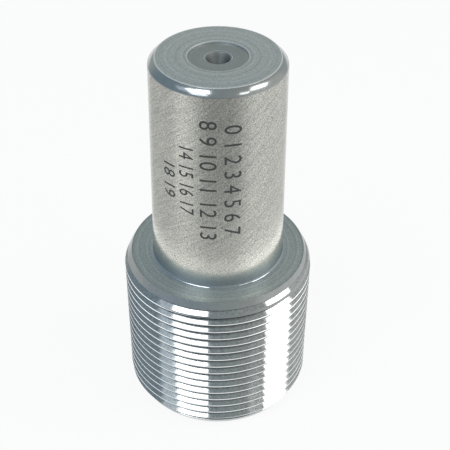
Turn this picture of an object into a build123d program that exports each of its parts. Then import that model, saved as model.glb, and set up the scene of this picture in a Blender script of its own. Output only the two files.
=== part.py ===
from build123d import *
from math import radians, tan
import os

# Thread plug gauge, GO member: one turned and ground steel piece.
# Below is the head, whose outside is the major cylinder of an M30 x 1.5 thread, above
# it the tapered shank that a handle grips. Both ends carry a lathe centre.
# Millimetres. The origin is the centre of the head's end face and +Z runs up the axis.

# ---- thread: 60 degree metric form, right-hand -----------------------------------
major_diameter = 30.0       # over the crests
pitch = 1.5
flank_angle = 30.0          # each flank, from a plane square to the axis
crest_flat = pitch / 8
root_flat = pitch / 8

# ---- head ------------------------------------------------------------------------
head_length = 26.6          # end face to shoulder
lead_length = 2.15          # axial length of the bevel at each end of the thread
lead_below_root = 0.18      # the bevels end this far inside the thread's root

# ---- shank -----------------------------------------------------------------------
shank_length = 34.2         # shoulder to end face
shank_end_diameter = 20.0
shank_taper = 1 / 48        # growth in diameter per unit of length, towards the head
shoulder_fillet = 0.45      # blends the shank into the shoulder
rim_chamfer = 1.0

# ---- lathe centres ---------------------------------------------------------------
recess_diameter = 8.7       # shallow dish that guards the centre in the shank's end
recess_depth = 0.3
guard_diameter = 4.0        # 120 degree guard bevel at the mouth
cone_diameter = 3.5         # 60 degree cone that the lathe centre bears on
pilot_diameter = 1.6
pilot_length = 2.0
drill_point_angle = 118.0

# ---- sizes that follow -----------------------------------------------------------
major_radius = major_diameter / 2
thread_depth = (pitch - crest_flat - root_flat) / 2 / tan(radians(flank_angle))
land_radius = major_radius - thread_depth - lead_below_root
shank_end_radius = shank_end_diameter / 2
shank_root_radius = shank_end_radius + shank_length * shank_taper / 2
total_length = head_length + shank_length

# ---- the shape that a centre drill leaves, mouth at Z = 0 and point downwards -----
guard_bottom = -(guard_diameter - cone_diameter) / 2 / tan(radians(60))
cone_bottom = guard_bottom - (cone_diameter - pilot_diameter) / 2 / tan(radians(30))
pilot_bottom = cone_bottom - pilot_length
drill_point = pilot_bottom - pilot_diameter / 2 / tan(radians(drill_point_angle / 2))

with BuildPart() as centre_drill:
    with BuildSketch(Plane.XZ):
        with BuildLine():
            Polyline(
                (0, 0),
                (guard_diameter / 2, 0),
                (cone_diameter / 2, guard_bottom),
                (pilot_diameter / 2, cone_bottom),
                (pilot_diameter / 2, pilot_bottom),
                (0, drill_point),
                close=True,
            )
        make_face()
    revolve(axis=Axis.Z)

# ---- the gauge member -------------------------------------------------------------
with BuildPart() as gauge_member:
    # Turned blank: head with a bevel at each end, shoulder, tapered shank.
    with BuildSketch(Plane.XZ):
        with BuildLine():
            Polyline(
                (0, 0),
                (land_radius, 0),
                (major_radius, lead_length),
                (major_radius, head_length - lead_length),
                (land_radius, head_length),
                (shank_root_radius, head_length),
                (shank_end_radius, total_length),
                (0, total_length),
                close=True,
            )
        make_face()
    revolve(axis=Axis.Z)

    # The shank's corner in the shoulder, and the rim of its end face.
    circles = gauge_member.edges().filter_by(GeomType.CIRCLE)
    shoulder_circles = circles.filter_by_position(Axis.Z, head_length - 0.01, head_length + 0.01)
    fillet(shoulder_circles.sort_by(SortBy.RADIUS)[0], radius=shoulder_fillet)
    rim = gauge_member.edges().filter_by(GeomType.CIRCLE).sort_by(Axis.Z)[-1]
    chamfer(rim, length=rim_chamfer)

    # Dish in the shank's end face, then a centre in its floor and one in the head.
    with BuildSketch(Plane.XY.offset(total_length)):
        Circle(recess_diameter / 2)
    extrude(amount=-recess_depth, mode=Mode.SUBTRACT)
    with Locations(
        Location((0, 0, total_length - recess_depth)),
        Location((0, 0, 0), (180, 0, 0)),
    ):
        add(centre_drill.part, mode=Mode.SUBTRACT)

gauge_member.part.label = "gauge_member"

os.makedirs("parts", exist_ok=True)
export_step(gauge_member.part, "parts/gauge_member.step")

print(f"gauge_member: {len(gauge_member.part.solids())} solid, "
      f"{len(gauge_member.part.faces())} faces, valid {gauge_member.part.is_valid}, "
      f"volume {gauge_member.part.volume:.1f} mm3")
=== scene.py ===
# %% [markdown]
# # A thread plug gauge, from bar to bench
#
# This lesson dresses one solid: a hardened steel gauge that is screwed into a tapped hole to
# see whether the hole is big enough. The lower half is a fine right-hand screw thread, and the
# plain upper half is a tapered shank that a handle grips.
#
# The CAD model comes first, so it is loaded before anything is made. The CAD model comes
# first, and nothing here may grow past its box.

# %% Load the frame
from math import cos, pi, radians, sin, tan

import bmesh
import bpy
from mathutils import Matrix, Vector


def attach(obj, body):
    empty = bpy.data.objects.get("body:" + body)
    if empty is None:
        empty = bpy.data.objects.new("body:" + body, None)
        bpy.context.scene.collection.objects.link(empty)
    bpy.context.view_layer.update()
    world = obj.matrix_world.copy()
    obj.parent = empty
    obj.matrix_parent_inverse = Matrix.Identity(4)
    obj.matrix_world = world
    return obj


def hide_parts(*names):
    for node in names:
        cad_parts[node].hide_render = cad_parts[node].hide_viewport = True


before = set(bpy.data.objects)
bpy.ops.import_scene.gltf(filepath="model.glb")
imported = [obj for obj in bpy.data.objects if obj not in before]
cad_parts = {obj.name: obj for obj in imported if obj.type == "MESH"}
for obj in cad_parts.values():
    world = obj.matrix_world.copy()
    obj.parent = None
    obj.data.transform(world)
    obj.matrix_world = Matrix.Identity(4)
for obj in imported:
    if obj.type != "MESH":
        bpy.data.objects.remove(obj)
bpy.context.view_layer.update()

MM = 0.001

# %% [markdown]
# ## The sizes
#
# A gauge is made of standard sizes, so they are written down once, in millimetres. The thread
# is 30 mm over its crests with a pitch of 1.5 mm, and its flanks lean 30 degrees from a plane
# square to the axis. Everything else hangs on the same centre line, which is the Z axis.

# %% Sizes in millimetres
MAJOR_RADIUS = 15.0
PITCH = 1.5
CREST_FLAT = PITCH / 8
ROOT_FLAT = PITCH / 8
FLANK = radians(30)
THREAD_DEPTH = (PITCH - CREST_FLAT - ROOT_FLAT) / 2 / tan(FLANK)
ROOT_RADIUS = MAJOR_RADIUS - THREAD_DEPTH
CREST_AT_FRONT = 0.560          # height of the lowest crest where it passes the front

HEAD_LENGTH = 26.6
LEAD_LENGTH = 2.15
LAND_RADIUS = MAJOR_RADIUS - THREAD_DEPTH - 0.18

TOTAL_LENGTH = 60.8
SHANK_END_RADIUS = 10.0
SHANK_TAPER = 1 / 96            # growth in radius per unit of length, towards the head
FILLET = 0.45
RIM_CHAMFER = 1.0
EDGE_BREAK = 0.11               # the stoned edges, bright lines on the real part

DISH_RADIUS = 4.35
DISH_DEPTH = 0.3
GUARD_RADIUS, CONE_RADIUS, PILOT_RADIUS = 2.0, 1.75, 0.8
GUARD_LEAN, CONE_LEAN, POINT_LEAN = radians(60), radians(30), radians(59)   # from the axis
PILOT_LENGTH = 2.0
CENTRE_EDGE = 0.03              # the round on the two edges at a centre's mouth
print("thread depth", round(THREAD_DEPTH, 3), "land radius", round(LAND_RADIUS, 3))

# %% [markdown]
# ## Three helpers for turned work
#
# Everything on a lathe is a line swept round an axis. `chain` lays a line of points in the XZ
# plane, and `turn` sweeps it with the spin operator. A full spin ends where it began, so it
# merges its last column into its first.

# %% Lathe helpers
SEGMENTS = 288                  # steps in one turn
SAME_POINT = 1e-6               # metres: vertices nearer than this are one


def chain(bm, points):
    """Vertices at (radius, height) in millimetres, joined in order by edges."""
    verts = [bm.verts.new((r * MM, 0, z * MM)) for r, z in points]
    edges = [bm.edges.new(pair) for pair in zip(verts, verts[1:])]
    return verts + edges


def turn(bm, line, rise=0.0):
    """Sweep a line once round Z. A rise turns the circle into one turn of a helix."""
    bmesh.ops.spin(bm, geom=line, axis=(0, 0, 1), cent=(0, 0, 0), angle=2 * pi,
                   steps=SEGMENTS, dvec=(0, 0, rise * MM / SEGMENTS), use_merge=rise == 0)


def piece(name, bm):
    """Close the bmesh into an object of the scene."""
    mesh = bpy.data.meshes.new(name)
    bm.to_mesh(mesh)
    bm.free()
    made = bpy.data.objects.new(name, mesh)
    bpy.context.scene.collection.objects.link(made)
    return made


print("one step of a turn is", 360 / SEGMENTS, "degrees")

# %% [markdown]
# ## The thread
#
# A thread grinder feeds one pitch along the bar in each turn. The spin does the same: the
# line is the section of the teeth, and it climbs one pitch as it goes round, so that its end
# meets its own beginning one tooth higher. That gives the true helical flanks, which a stack
# of plain rings could never give. Each crest gets a tiny flat with eased corners, since a
# lapped gauge has no knife edges.

# %% Sweep the teeth
EASE = 0.022                    # the lap's rounding of the crest's corners
TURNS_BELOW = 2                 # teeth beyond the end face, cut off later
teeth = int(HEAD_LENGTH / PITCH) + 2 + 2 * TURNS_BELOW
quarter_turn = PITCH / 4        # the line is drawn at +X, a quarter turn after the front
half_crest = CREST_FLAT / 2
flank_foot = CREST_FLAT / 2 + THREAD_DEPTH * tan(FLANK)

section = []
for tooth in range(-TURNS_BELOW, teeth - TURNS_BELOW):
    crest = CREST_AT_FRONT + quarter_turn + tooth * PITCH
    section += [
        (ROOT_RADIUS, crest - flank_foot),
        (MAJOR_RADIUS - EASE, crest - half_crest - EASE * tan(FLANK)),
        (MAJOR_RADIUS, crest - half_crest + EASE),
        (MAJOR_RADIUS, crest + half_crest - EASE),
        (MAJOR_RADIUS - EASE, crest + half_crest + EASE * tan(FLANK)),
        (ROOT_RADIUS, crest + flank_foot),
    ]

rod = bmesh.new()
turn(rod, chain(rod, section), rise=PITCH)
bmesh.ops.remove_doubles(rod, verts=rod.verts, dist=SAME_POINT)
print("threaded rod:", teeth, "teeth,", len(rod.faces), "faces")

# %% [markdown]
# The rod's two ends are still open and ragged. Two flat cuts square them off, a little beyond
# the head's real length, and a face fills each cut, so that the rod is a closed solid that a
# Boolean can work with.

# %% Square off the rod
OVERRUN = 0.6                   # how far the rod passes the head at both ends
for height, outward in ((-OVERRUN, -1), (HEAD_LENGTH + OVERRUN, 1)):
    bmesh.ops.bisect_plane(rod, geom=rod.verts[:] + rod.edges[:] + rod.faces[:], dist=1e-9,
                           plane_co=(0, 0, height * MM), plane_no=(0, 0, outward), clear_outer=True)
rims = [edge for edge in rod.edges if edge.is_boundary]
bmesh.ops.holes_fill(rod, edges=rims, sides=0)
bmesh.ops.recalc_face_normals(rod, faces=rod.faces[:])
print("open edges left:", sum(edge.is_boundary for edge in rod.edges))

# %% [markdown]
# The bevels at the head's two ends let the gauge start in a hole. They were turned before the
# thread was ground, so the grooves run out through them in long crescents. Here they come from
# a second solid, as wide as it likes between the bevels: what both solids hold is the head.

# %% Bevel the head
OVERSIZE = 0.6
slope = LEAD_LENGTH / (MAJOR_RADIUS - LAND_RADIUS)
wide = MAJOR_RADIUS + OVERSIZE
bevel_end = slope * (wide - LAND_RADIUS)
envelope = bmesh.new()
turn(envelope, chain(envelope, [(0, 0), (LAND_RADIUS, 0), (wide, bevel_end),
                                (wide, HEAD_LENGTH - bevel_end), (LAND_RADIUS, HEAD_LENGTH),
                                (0, HEAD_LENGTH)]))
bmesh.ops.remove_doubles(envelope, verts=envelope.verts, dist=SAME_POINT)
bmesh.ops.recalc_face_normals(envelope, faces=envelope.faces[:])

threaded = piece("threaded_rod", rod)
bevelled = piece("bevelled_blank", envelope)
cut = threaded.modifiers.new("bevel", "BOOLEAN")
cut.operation, cut.solver, cut.object = "INTERSECT", "EXACT", bevelled
head_mesh = bpy.data.meshes.new_from_object(
    threaded.evaluated_get(bpy.context.evaluated_depsgraph_get()))
for helper in (threaded, bevelled):
    bpy.data.objects.remove(helper)
print("head:", len(head_mesh.polygons), "faces")

# %% [markdown]
# ## The shoulder, the shank and the two centres
#
# The rest of the part is plain turning, so it is a line and a spin again. Corners that a
# turner breaks with a file, and the fillet that the grinding wheel's edge leaves at the
# shoulder, are cut on the line before it is spun: bevelling one vertex of a line makes the
# arc, and the spin carries it round.

# %% Lines with rounded corners
def rounded_chain(bm, corners):
    """A chain whose corners are (radius, height, size of the round, its segments)."""
    made = chain(bm, [corner[:2] for corner in corners])
    for vert, (_, _, size, steps) in zip(made[:len(corners)], corners):
        if size:
            bmesh.ops.bevel(bm, geom=[vert], offset=size * MM, offset_type="OFFSET",
                            segments=steps, profile=0.5, affect="VERTICES", material=-1)
    return bm.verts[:] + bm.edges[:]


def centre_hole(mouth, way):
    """The corners that a centre drill leaves, from its mouth to the drill's point."""
    depths = [0.0, (GUARD_RADIUS - CONE_RADIUS) / tan(GUARD_LEAN)]
    depths.append(depths[1] + (CONE_RADIUS - PILOT_RADIUS) / tan(CONE_LEAN))
    depths.append(depths[2] + PILOT_LENGTH)
    depths.append(depths[3] + PILOT_RADIUS / tan(POINT_LEAN))
    radii = [GUARD_RADIUS, CONE_RADIUS, PILOT_RADIUS, PILOT_RADIUS, 0.0]
    rounds = [CENTRE_EDGE, CENTRE_EDGE, 0, 0, 0]
    return [(r, mouth + way * d, size, 1) for r, d, size in zip(radii, depths, rounds)]


print("a centre is", round(centre_hole(0, 1)[-1][1], 2), "mm deep")

# %% [markdown]
# Two lines make all the turned surfaces. One starts on the shoulder and ends at the bottom of
# the centre in the shank's end, and the other is the head's own end face with its centre.

# %% Turn the rest of the blank
shank_root = SHANK_END_RADIUS + (TOTAL_LENGTH - HEAD_LENGTH) * SHANK_TAPER
rim_root = SHANK_END_RADIUS + RIM_CHAMFER * SHANK_TAPER
FILLET_STEPS, EDGE_STEPS = 8, 2
upper = bmesh.new()
turn(upper, rounded_chain(upper, [
    (LAND_RADIUS, HEAD_LENGTH, 0, 0),
    (shank_root, HEAD_LENGTH, FILLET, FILLET_STEPS),
    (rim_root, TOTAL_LENGTH - RIM_CHAMFER, EDGE_BREAK, EDGE_STEPS),
    (SHANK_END_RADIUS - RIM_CHAMFER, TOTAL_LENGTH, EDGE_BREAK, EDGE_STEPS),
    (DISH_RADIUS, TOTAL_LENGTH, EDGE_BREAK, EDGE_STEPS),
    (DISH_RADIUS, TOTAL_LENGTH - DISH_DEPTH, EDGE_BREAK, EDGE_STEPS),
] + centre_hole(TOTAL_LENGTH - DISH_DEPTH, -1)))
lower = bmesh.new()
turn(lower, rounded_chain(lower, [(LAND_RADIUS, 0, 0, 0)] + centre_hole(0, 1)))
print("upper:", len(upper.faces), "faces, lower:", len(lower.faces), "faces")

# %% [markdown]
# The head still has a flat disc at each end. The discs go, and the turned surfaces take their
# place. All three were spun with the same number of steps, so their circles meet vertex on
# vertex, and merging doubles sews them together. The Boolean leaves many edges that are
# shorter than the merging distance, in an order that changes from run to run, so the line
# printed here is worth reading: it says how many edges the sewing has left open.

# %% Sew head and blank together
SEAM = 2e-6                     # metres between the circles that are sewn
ON_END = 1e-7                   # metres that rounding may move a disc off its end plane
body = bmesh.new()
body.from_mesh(head_mesh)
discs = [face for face in body.faces
         if all(v.co.z < ON_END for v in face.verts)
         or all(v.co.z > HEAD_LENGTH * MM - ON_END for v in face.verts)]
bmesh.ops.delete(body, geom=discs, context="FACES")
for turned in (upper, lower):
    turned_mesh = bpy.data.meshes.new("turned")
    turned.to_mesh(turned_mesh)
    turned.free()
    body.from_mesh(turned_mesh)
bmesh.ops.remove_doubles(body, verts=body.verts, dist=SEAM)
bmesh.ops.dissolve_degenerate(body, edges=body.edges, dist=1e-7)
bmesh.ops.recalc_face_normals(body, faces=body.faces[:])
print("open edges:", sum(edge.is_boundary for edge in body.edges),
      "volume in mm3:", round(body.calc_volume() / MM ** 3, 1))

# %% [markdown]
# ## Shader sums in plain Python
#
# A material is a sheet of nodes. `Wire` wraps one output of a node and gives it Python's own
# signs, so that a pattern reads like the sum that it is. Any other node comes from one method,
# `Sheet.node`, which takes its settings and what goes into its sockets.

# %% Wires and sheets
class Wire:
    """One output of a node."""

    def __init__(self, sheet, socket):
        self.sheet, self.socket = sheet, socket

    def sum(self, operation, *values):
        sockets = dict(enumerate(values))
        return self.sheet.node("ShaderNodeMath", {"operation": operation}, sockets)

    def __add__(self, other):
        return self.sum("ADD", self, other)

    def __sub__(self, other):
        return self.sum("SUBTRACT", self, other)

    def __rsub__(self, other):
        return self.sum("SUBTRACT", other, self)

    def __mul__(self, other):
        return self.sum("MULTIPLY", self, other)

    def __truediv__(self, other):
        return self.sum("DIVIDE", self, other)

    def __pow__(self, other):
        return self.sum("POWER", self, other)

    def within(self, low, high):
        """0 below low, 1 above high and smooth between them."""
        return self.sheet.node("ShaderNodeMapRange", {"interpolation_type": "SMOOTHSTEP"},
                               {"Value": self, "From Min": low, "From Max": high})

    __radd__, __rmul__ = __add__, __mul__


class Sheet:
    """The node sheet of a material or of the world."""

    def __init__(self, owner):
        owner.use_nodes = True
        self.owner, self.tree = owner, owner.node_tree
        self.tree.nodes.clear()

    def node(self, kind, settings=None, sockets=None, output=0):
        made = self.tree.nodes.new(kind)
        for name, value in (settings or {}).items():
            setattr(made, name, value)
        for name, value in (sockets or {}).items():
            if isinstance(value, Wire):
                self.tree.links.new(value.socket, made.inputs[name])
            else:
                made.inputs[name].default_value = value
        return Wire(self, made.outputs[output])

    def parts(self, vector):
        """The three numbers of a vector."""
        split = self.node("ShaderNodeSeparateXYZ", sockets={0: vector})
        return [Wire(self, socket) for socket in split.socket.node.outputs]

    def blend(self, mask, first, second):
        """A colour that goes from first to second with the mask. Its sockets go by number,
        because a Mix node has a set of them for numbers, for vectors and for colours."""
        return self.node("ShaderNodeMix", {"data_type": "RGBA"}, {0: mask, 6: first, 7: second}, 2)

    def surface(self, wire, kind="ShaderNodeOutputMaterial"):
        out = self.tree.nodes.new(kind)
        self.tree.links.new(wire.socket, out.inputs["Surface"])


def grey(level, red=1.0, blue=1.0):
    """A grey whose red and blue are a little more or less than its green."""
    return (level * red, level, level * blue, 1.0)


print("a cool grey:", grey(0.5, 0.92, 1.06))

# %% [markdown]
# ## The finishes of one bar of steel
#
# The whole part is one steel, but each tool leaves its own finish. All the patterns read the
# object's own coordinates, in metres from the centre of the end face, so `place` gives the
# three things that turned work needs: the point itself, its radius and its height.
#
# A finish is `steel` with a colour, a roughness and a bump. Each of the three is a function of
# the place. Most of them are a soft noise that drifts between two values, so `clouded`, `worn`
# and `grainy` make such functions from a scale in patches per millimetre.

# %% Patterns on turned work
def place(sheet):
    point = sheet.node("ShaderNodeTexCoord", output="Object")
    x, y, height = sheet.parts(point)
    return point, (x * x + y * y) ** 0.5, height


def rings(sheet, along, per_mm, seed):
    """Grooves of uneven depth that repeat along one measure, as a tool leaves them."""
    line = sheet.node("ShaderNodeCombineXYZ", sockets={0: along, 1: seed})
    return sheet.node("ShaderNodeTexNoise", sockets={
        "Vector": line, "Scale": per_mm / MM, "Detail": 3.0, "Roughness": 0.6})


def mottle(sheet, point, per_mm, detail=3.0):
    return sheet.node("ShaderNodeTexNoise", sockets={
        "Vector": point, "Scale": per_mm / MM, "Detail": detail, "Roughness": 0.6})


def clouded(per_mm, dark, light):
    return lambda s, p, r, z: s.blend(mottle(s, p, per_mm), dark, light)


def worn(per_mm, spread, least):
    return lambda s, p, r, z: mottle(s, p, per_mm) * spread + least


def grainy(per_mm):
    return lambda s, p, r, z: mottle(s, p, per_mm)


def steel(name, colour, roughness, bump, depth, across=0.0):
    """Bare steel. The bump's depth is in millimetres, and across spreads the highlights over
    the grooves of the lathe."""
    sheet = Sheet(bpy.data.materials.new(name))
    spot = place(sheet)
    tint = colour(sheet, *spot)
    normal = sheet.node("ShaderNodeBump", sockets={
        "Strength": 1.0, "Distance": depth * MM, "Height": bump(sheet, *spot)})
    sheet.surface(sheet.node("ShaderNodeBsdfPrincipled", sockets={
        "Base Color": tint, "Roughness": roughness(sheet, *spot), "Metallic": 1.0,
        "Normal": normal, "Anisotropic": across, "Anisotropic Rotation": 0.25 if across else 0.0}))
    print("finish:", name, "with", len(sheet.tree.nodes), "nodes")
    return sheet.owner


# %% [markdown]
# The thread is ground and then lapped, so it is the brightest steel of the part. The lap's
# scratches run round the screw and throw a highlight across each flank, which is what the
# anisotropic setting does. The colour falls to near black at the bottom of each groove. That is
# painted shade for the root that the teeth shade, and it stops near the shoulder, where the grooves
# run out.
#
# Deep in a groove the next tooth stands between a flank and the lamps. So the bump has a plain
# slope besides its fine rings: it falls as the radius grows, which tilts what both flanks mirror by
# about six degrees and leaves their shape alone. The crests were ground before the groove was cut,
# and they are left as thin bright lines. Their near-white colour is partly the ground finish and
# partly a painted highlight.

# %% Lapped thread and ground crests
ROOT_SHADE_LINE = (0.14, 0.28)         # the painted shade at the root fades out between these rises above it, in mm
ROOT_SHADE_END = (2.7, 2.0)              # and the painted shade has gone between these distances below the shoulder


# Painted shade: the colour falls to near black at each groove's root and stops near the shoulder.
def lapped_tint(sheet, point, radius, height):
    above_root_shade = (radius / MM).within(*(ROOT_RADIUS + rise for rise in ROOT_SHADE_LINE))
    past_root_shade = (height / MM).within(*(HEAD_LENGTH - drop for drop in ROOT_SHADE_END))
    unshaded = above_root_shade + past_root_shade * (1 - above_root_shade)
    spots = mottle(sheet, point, 2.6).within(0.35, 0.65)
    return sheet.blend(unshaded, grey(0.02), sheet.blend(spots, grey(0.46, 0.97), grey(0.62, 0.97)))


lapped = steel("lapped_thread", lapped_tint, worn(1.2, 0.08, 0.08),
               bump=lambda s, p, r, z: rings(s, r, 9.0, 0.3) * 0.01 - r / MM,
               depth=0.12, across=0.8)
# The crests' near-white colour is partly the ground finish and partly a painted highlight.
crests = steel("ground_crests_highlit", clouded(0.8, grey(0.90, 0.98), grey(0.98, 0.98)),
               worn(2.0, 0.15, 0.18), grainy(5.0), depth=0.001)

# %% [markdown]
# The narrow slopes are the work of a polishing stick: the head's bevels, and the chamfer round the
# shank's end, which the stick has left slightly convex. The crown is only in the bump, as a
# parabola from edge to edge, and it gathers the lamps into short glints. The fillet was burnished
# by the edge of the wheel and mirrors best of all. The edges were broken with a fine stone, which
# leaves them pale and matt. Their near-white colour is partly that finish and partly a painted
# highlight, which gives thin bright lines along them.

# %% Polished slopes and stoned edges
def crowned(sheet, point, radius, height):
    half_width = RIM_CHAMFER / 2
    across = (height / MM - TOTAL_LENGTH + half_width) / half_width
    return rings(sheet, height, 9.0, 0.7) * 0.03 - across * across


polished = steel("polished_rims", clouded(0.9, grey(0.50, 0.95), grey(0.62, 0.97)),
                 worn(1.6, 0.14, 0.18), bump=lambda s, p, r, z: rings(s, z, 9.0, 0.7),
                 depth=0.001, across=0.5)
rim = steel("polished_rim", clouded(0.9, grey(0.46, 0.95), grey(0.56, 0.97)),
            worn(1.6, 0.12, 0.10), crowned, depth=0.035, across=0.5)
burnished = steel("burnished_fillet", clouded(1.5, grey(0.50, 0.92, 1.06), grey(0.60, 0.92, 1.06)),
                  worn(1.2, 0.10, 0.04), grainy(0.6), depth=0.004)
# The edges' near-white colour is partly the stoned finish and partly a painted highlight.
stoned = steel("stoned_edges_highlit", clouded(1.5, grey(0.90), grey(1.0)),
               worn(2.0, 0.15, 0.30), grainy(5.0), depth=0.001)

# %% [markdown]
# The end faces and the shoulder are faced on the lathe. The tool moves slowly towards the
# centre, and its path is left as fine rings, which depend on the radius alone. Under the
# rings the steel is finely speckled, as oiled steel is.

# %% Faced ends
def faced(name, level, rough, red=0.94, contrast=0.2, depth=0.003):
    def tint(s, p, r, z):
        specks = mottle(s, p, 7.0, 1.0).within(0.3, 0.7)
        marks = rings(s, r, 2.6, 0.9).within(0.3, 0.7) * 0.5 + specks * 0.5
        low, high = level * (1 - contrast), level * (1 + contrast)
        return s.blend(marks, grey(low, red, 0.99), grey(high, red, 0.99))

    return steel(
        name, colour=tint,
        roughness=lambda s, p, r, z: rings(s, r, 2.5, 0.1) * 0.12 + rough,
        bump=lambda s, p, r, z: rings(s, r, 5.0, 0.5),
        depth=depth)


end_face = faced("faced_end", level=0.63, rough=0.26, red=0.95, contrast=0.34)
shoulder = faced("faced_shoulder", level=0.56, rough=0.50, red=0.92, contrast=0.46, depth=0.001)
dish = faced("faced_dish", level=0.43, rough=0.30)
# The centres are much darker than the faced ends. This is partly a rougher drilled finish and
# partly painted shade inside the holes.
bored = faced("drilled_centre_shaded", level=0.26, rough=0.50)

# %% [markdown]
# The shank is ground for a handle and then left alone. It is duller and a little warmer than
# the thread, and storage oil and fingers have left it finely speckled. The wheel crossed it at
# a slant, so faint streaks climb round it. A noise that is drawn out along Z would give
# upright streaks. Each level is turned back about the axis before it reads that noise, the
# higher the further, so the streaks come out slanted and have no seam.
#
# Towards its foot the shank is painted paler. That is painted light, for the light that the
# shoulder throws up onto it. Just above the fillet a narrow band is painted dark and cool, as a
# painted reflection of the shoulder in the steel.

# %% Ground shank
STREAK_SLANT = radians(38)
STREAK_TWIST = 1 / (SHANK_END_RADIUS * MM * tan(STREAK_SLANT))     # radians for each metre
DRAWN_OUT = (1.0, 1.0, 0.12)
SPECK_SHARE, STREAK_SHARE, LIT_FOOT_SHARE = 0.80, 0.20, 0.24
LIT_FOOT = (3.0, 7.5)          # the painted light on the foot fades out between these heights over the shoulder
MIRRORED_SHOULDER_BAND = (0.6, 3.2)          # and the painted reflection of the shoulder fades out between these


def slanted_streaks(sheet, point, height):
    upright = sheet.node("ShaderNodeVectorRotate", {"rotation_type": "Z_AXIS"}, {
        "Vector": point, "Angle": height * -STREAK_TWIST})
    stretched = sheet.node("ShaderNodeVectorMath", {"operation": "MULTIPLY"}, {
        0: upright, 1: DRAWN_OUT})
    return mottle(sheet, stretched, 3.4, 1.0)


def ground_tint(sheet, point, radius, height):
    specks = mottle(sheet, point, 7.0, 2.0).within(0.32, 0.68)
    streaks = slanted_streaks(sheet, point, height).within(0.35, 0.65)
    # Painted light: the foot is paler towards the shoulder.
    foot = 1 - (height / MM).within(*(HEAD_LENGTH + rise for rise in LIT_FOOT))
    unshaded = sheet.blend(specks * SPECK_SHARE + streaks * STREAK_SHARE + foot * LIT_FOOT_SHARE,
                        grey(0.34, 0.99, 0.95), grey(1.0, 1.0, 0.91))
    # Painted reflection: a dark, cool band just above the fillet stands for the shoulder mirrored
    # in the shank.
    above_mirrored_shoulder = (height / MM).within(*(HEAD_LENGTH + rise for rise in MIRRORED_SHOULDER_BAND))
    return sheet.blend(above_mirrored_shoulder, grey(0.50, 0.92, 1.08), unshaded)


ground = steel("ground_shank", ground_tint, worn(2.0, 0.10, 0.18), grainy(5.0), depth=0.006)

# %% [markdown]
# ## Which tool touched which face
#
# Each face gets its finish from where it lies and which way it looks. On the head's outside
# the crests are ground, the slopes at its two ends are polished, and the rest is lapped. Flat
# faces are faced, and the head's own end face is finished as the shoulder is. The shank's cone
# is ground, its fillet burnished and its chamfer polished, and the rounds between them were
# broken with a stone.

# %% Give each face its finish
FINISHES = [lapped, crests, polished, rim, burnished, stoned, ground, end_face, shoulder, dish,
            bored]
(LAPPED, CREST, POLISHED, RIM, BURNISHED, STONED, GROUND, END_FACE, SHOULDER, DISH,
 BORED) = range(len(FINISHES))
HAIR, SLACK = 0.02, 0.05        # mm by which a face may miss the size that it is known by
FLAT, UPRIGHT = 0.99, 0.05      # how much of a face's normal lies along the axis
BEVEL_LOW, BEVEL_HIGH = 0.3, 0.6
TOP_ROUND = 0.8


def finish_of(face):
    centre = face.calc_center_median() / MM
    reach = Vector(centre.xy).length
    level = abs(face.normal.z)
    if centre.z < HEAD_LENGTH - 1e-3 and reach > LAND_RADIUS - SLACK:
        if reach > MAJOR_RADIUS - EASE:
            return CREST
        by_an_end = centre.z < LEAD_LENGTH or centre.z > HEAD_LENGTH - LEAD_LENGTH
        return POLISHED if by_an_end and BEVEL_LOW < level < BEVEL_HIGH else LAPPED
    if reach < CONE_RADIUS + HAIR:
        return BORED
    if reach < GUARD_RADIUS - SLACK:
        return DISH
    if reach < GUARD_RADIUS + CENTRE_EDGE:
        return STONED
    if reach < DISH_RADIUS + HAIR and centre.z > HEAD_LENGTH:
        return DISH if level > FLAT or reach < DISH_RADIUS - HAIR / 2 else STONED
    if level > FLAT:
        return SHOULDER if centre.z < TOTAL_LENGTH / 2 else END_FACE
    if level < UPRIGHT and centre.z > HEAD_LENGTH + FILLET:
        return GROUND
    if centre.z < HEAD_LENGTH + FILLET:
        return BURNISHED
    on_top_edge = centre.z > TOTAL_LENGTH - 2 * EDGE_BREAK and level > TOP_ROUND
    return STONED if on_top_edge else RIM


for face in body.faces:
    face.material_index = finish_of(face)
    face.smooth = True

gauge = piece("gauge_steel_body", body)
for finish in FINISHES:
    gauge.data.materials.append(finish)
gauge.data.set_sharp_from_angle(angle=radians(20))
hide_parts("gauge_member")
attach(gauge, "root")
print("faces of each finish:", [sum(f.material_index == i for f in gauge.data.polygons)
                                for i in range(len(FINISHES))])

# %% [markdown]
# ## The figures on the shank
#
# A gauge is etched, not stamped, so that nothing is pushed out of true: an acid pad leaves
# thin dark strokes in the surface. Here they are plain numbers. They are typed flat, turned
# into a mesh, sliced finely across and then wrapped round the cone, reading down the shank.

# %% Ink for the figures
ink = Sheet(bpy.data.materials.new("etched_figures"))
ink_point, _, _ = place(ink)
ink.surface(ink.node("ShaderNodeBsdfPrincipled", sockets={
    "Base Color": ink.blend(mottle(ink, ink_point, 4.0), grey(0.045), grey(0.13)),
    "Roughness": mottle(ink, ink_point, 3.0) * 0.2 + 0.45, "Metallic": 0.4}))
print("ink:", len(ink.tree.nodes), "nodes")

# %% [markdown]
# The text operator gives letters of its own size, so each line is measured and then scaled to
# the height and the length that it should have.

# %% Etch the figures
FIGURE_LIFT = 0.012             # how far the strokes stand off the steel, too little to see
SLICES = 12                     # strips across a line, so that it can bend round the cone


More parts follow.
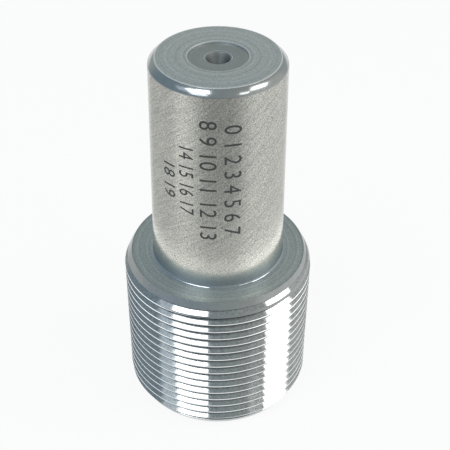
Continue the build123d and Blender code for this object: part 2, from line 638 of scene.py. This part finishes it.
def etch(name, words, height, width, top, azimuth):
    """Figures of one line: their height and the line's length, its top and its middle."""
    flat_text = bpy.data.curves.new(name, "FONT")
    flat_text.body = words
    flat_text.size = 1.0
    flat_text.resolution_u = 4
    typed = bpy.data.objects.new(name, flat_text)
    bpy.context.scene.collection.objects.link(typed)
    mesh = bpy.data.meshes.new_from_object(
        typed.evaluated_get(bpy.context.evaluated_depsgraph_get()))
    bpy.data.objects.remove(typed)
    bm = bmesh.new()
    bm.from_mesh(mesh)
    low = [min(v.co[i] for v in bm.verts) for i in range(2)]
    high = [max(v.co[i] for v in bm.verts) for i in range(2)]
    scale = (width / (high[0] - low[0]), height / (high[1] - low[1]), 1)
    bmesh.ops.translate(bm, vec=(-low[0], -(low[1] + high[1]) / 2, 0), verts=bm.verts)
    bmesh.ops.scale(bm, vec=scale, verts=bm.verts)
    for i in range(1, SLICES):
        bmesh.ops.bisect_plane(bm, geom=bm.verts[:] + bm.edges[:] + bm.faces[:], dist=1e-6,
                               plane_co=(0, height * (i / SLICES - 0.5), 0), plane_no=(0, 1, 0))
    bmesh.ops.triangulate(bm, faces=bm.faces[:])
    for vert in bm.verts:
        z = top - vert.co.x
        radius = SHANK_END_RADIUS + (TOTAL_LENGTH - z) * SHANK_TAPER + FIGURE_LIFT
        angle = radians(azimuth) + vert.co.y / radius
        vert.co = Vector((radius * sin(angle), -radius * cos(angle), z)) * MM
    made = piece(name, bm)
    made.data.materials.append(ink.owner)
    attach(made, "root")
    return made


rows = [
    etch("figures_1", "0 1 2 3 4 5 6 7", 2.5, 18.9, 55.5, 12.0),
    etch("figures_2", "8 9 10 11 12 13", 2.5, 20.3, 56.2, -8.0),
    etch("figures_3", "14 15 16 17", 2.3, 11.4, 51.3, -26.5),
    etch("figures_4", "18 19", 2.2, 5.7, 47.6, -43.5),
]
print("figures:", sum(len(row.data.polygons) for row in rows), "faces")

# %% [markdown]
# ## The camera
#
# A long lens looks down on the standing gauge by 38 degrees. The camera's three axes are
# worked out from that slope, with a hair of pan and roll, so nothing is left to a tracker.

# %% Camera
LENS = 80.25
DISTANCE, SLOPE, PAN, ROLL = 159.01, radians(38.02), radians(0.405), radians(0.097)
AIM_HEIGHT = 30.67

eye = Vector((0, -DISTANCE * cos(SLOPE), AIM_HEIGHT + DISTANCE * sin(SLOPE))) * MM
ahead = Vector((0, cos(SLOPE), -sin(SLOPE)))
side = Vector((1, 0, 0))
up = Vector((0, sin(SLOPE), cos(SLOPE)))
ahead, side = ahead * cos(PAN) + side * sin(PAN), side * cos(PAN) - ahead * sin(PAN)
side, up = side * cos(ROLL) + up * sin(ROLL), up * cos(ROLL) - side * sin(ROLL)
lens = bpy.data.cameras.new("camera")
lens.lens, lens.sensor_width, lens.clip_start = LENS, 36.0, 0.01
camera = bpy.data.objects.new("camera", lens)
camera.matrix_world = Matrix.Translation(eye) @ Matrix((side, up, -ahead)).transposed().to_4x4()
bpy.context.scene.collection.objects.link(camera)
bpy.context.scene.camera = camera
print("camera at", [round(v / MM, 1) for v in eye], "mm")

# %% [markdown]
# ## Floor, world and lamps
#
# The gauge stands on white paper. Polished steel has hardly a colour of its own, so what it
# mirrors is the picture. The upright shank looks down and mirrors the paper, so the paper's
# brightness is drawn as steel should see it: brightest close by on both sides, darker in front
# and darkest far off in front, a little paler again to the left of that, and white behind.
# Right at the gauge's foot it is white on all sides, for the thread.

# %% How bright the paper looks from the steel
paper = Sheet(bpy.data.materials.new("white_paper"))
spot, distance, _ = place(paper)
eastward, northward = (part / distance for part in paper.parts(spot)[:2])
to_right = eastward.within(0.30, 0.95)
to_left = (eastward * -1).within(0.22, 0.90)
in_front = 1 - to_right - to_left
forward = 1 - northward.within(-0.55, -0.20)
behind = northward.within(0.60, 0.90)
far = distance.within(0.040, 0.110)
close = 1 - distance.within(0.042, 0.056)
beside = 1 - distance.within(0.026, 0.036)

# Each side has a plain level, and what is added to it close by and far off.
FRONT, FRONT_CLOSE, FRONT_FAR = 0.60, 0.36, 0.33
RIGHT, RIGHT_CLOSE = 0.72, 1.70
LEFT, LEFT_CLOSE, LEFT_FAR = 0.56, 1.20, 0.26
PAPER_WHITE = 1.05
around = (in_front * (FRONT - far * FRONT_FAR + close * FRONT_CLOSE)
          + to_right * (RIGHT + close * RIGHT_CLOSE)
          + to_left * (LEFT + close * LEFT_CLOSE + far * forward * LEFT_FAR))
level = around + beside * (PAPER_WHITE - around)
mirrored = level * (1 - behind) + behind
print("paper's pattern:", len(paper.tree.nodes), "nodes")

# %% [markdown]
# The camera sees the same paper as plain white, with the gauge's own shadow. A small share of
# ordinary paper is left in the mix to take that shadow. A blend of black and the brightest
# grey turns the number into a colour.

# %% Paper
BRIGHTEST = 2.4
GLOW_SHARE = 0.84
rays = paper.node("ShaderNodeLightPath").socket.node.outputs
by_camera, by_gloss, by_glass = (
    Wire(paper, rays[name]) for name in ("Is Camera Ray", "Is Glossy Ray", "Is Transmission Ray"))
lit = paper.node("ShaderNodeBsdfDiffuse", sockets={
    "Color": paper.blend(mottle(paper, spot, 0.05), grey(0.86), grey(0.90))})
seen = by_camera * PAPER_WHITE + mirrored * (1 - by_camera)
glow = paper.node("ShaderNodeEmission", sockets={
    "Color": paper.blend(seen / BRIGHTEST, grey(0.0), grey(BRIGHTEST)), "Strength": 1.0})
paper.surface(paper.node("ShaderNodeMixShader", sockets={
    0: (by_camera + by_gloss + by_glass) * GLOW_SHARE, 1: lit, 2: glow}))

sheet_bm = bmesh.new()
bmesh.ops.create_circle(sheet_bm, cap_ends=True, segments=96, radius=2.0)
floor = piece("paper_sheet", sheet_bm)
floor.data.materials.append(paper.owner)
print("paper:", len(paper.tree.nodes), "nodes")

# %% [markdown]
# The room is dim. It is cooler on the left and bright on the far right, with a paler wall at
# the back, which the flat faces mirror. Only the camera sees it as white.

# %% World
DIM_LEFT, DIM_RIGHT = (0.26, 0.33, 0.38, 1.0), (0.41, 0.43, 0.41, 1.0)
FAR_RIGHT, BACK_WALL = (0.60, 0.62, 0.60, 1.0), (0.45, 0.49, 0.49, 1.0)

world = Sheet(bpy.data.worlds.new("studio"))
bpy.context.scene.world = world.owner
east, north, _ = world.parts(world.node("ShaderNodeTexCoord"))
ceiling = world.blend(east.within(-0.8, 0.8), DIM_LEFT, DIM_RIGHT)
ceiling = world.blend(east.within(0.60, 0.85), ceiling, FAR_RIGHT)
room = world.node("ShaderNodeBackground", sockets={
    "Color": world.blend(north.within(0.45, 0.80), ceiling, BACK_WALL), "Strength": 1.0})
white = world.node("ShaderNodeBackground", sockets={"Color": grey(1.0), "Strength": 1.0})
direct = world.node("ShaderNodeLightPath", output="Is Camera Ray")
world.surface(world.node("ShaderNodeMixShader", sockets={0: direct, 1: room, 2: white}),
              "ShaderNodeOutputWorld")
print("world:", len(world.tree.nodes), "nodes")

# %% [markdown]
# Five soft boxes hang level above the bench. The two main ones, one on each side, come closer
# together as they go back. That slant follows the way a mirrored spot moves as the eye travels
# down the threaded head, so the edges of their highlights stand upright on it. The dark gap
# between them is as important as they are.
#
# The two rim lights are nearer to the viewer, where the chamfer round the shank's end mirrors
# them as two glints. The window is a faint cool lamp far out on the left.

# %% Soft boxes
LAMP_HEIGHT = 0.60
COOL, COOLER, WHITE = (0.90, 0.95, 1.0), (0.88, 0.94, 1.0), (1.0, 1.0, 1.0)


def soft_box(name, centre, across, along, slant, level, colour=WHITE):
    """A level rectangular lamp. Lengths in metres, the slant in degrees, the level as radiance."""
    lamp = bpy.data.lights.new(name, "AREA")
    lamp.shape, lamp.size, lamp.size_y = "RECTANGLE", across, along
    lamp.energy, lamp.color = level * pi * across * along, colour
    hung = bpy.data.objects.new(name, lamp)
    hung.matrix_world = (Matrix.Translation((*centre, LAMP_HEIGHT))
                         @ Matrix.Rotation(radians(slant), 4, "Z"))
    bpy.context.scene.collection.objects.link(hung)
    print(name, "gives", round(lamp.energy, 3), "W")


soft_box("light_left", (-0.264, -0.256), 0.326, 0.22, -7.5, 3.6)
soft_box("light_right", (0.611, -0.064), 0.406, 0.21, 30.0, 4.2)
soft_box("rim_light_left", (-0.330, -0.455), 0.30, 0.12, -16.0, 2.6, COOL)
soft_box("rim_light_right", (0.445, -0.385), 0.19, 0.13, 24.0, 2.8)
soft_box("window", (-0.535, -0.165), 0.20, 0.24, -30.0, 0.5, COOLER)

# %% [markdown]
# ## The view
#
# The view stays at Standard, so a colour shows as it is written. What is drawn may not be
# larger than the CAD model.

# %% Finish
bpy.context.scene.view_settings.view_transform = "Standard"
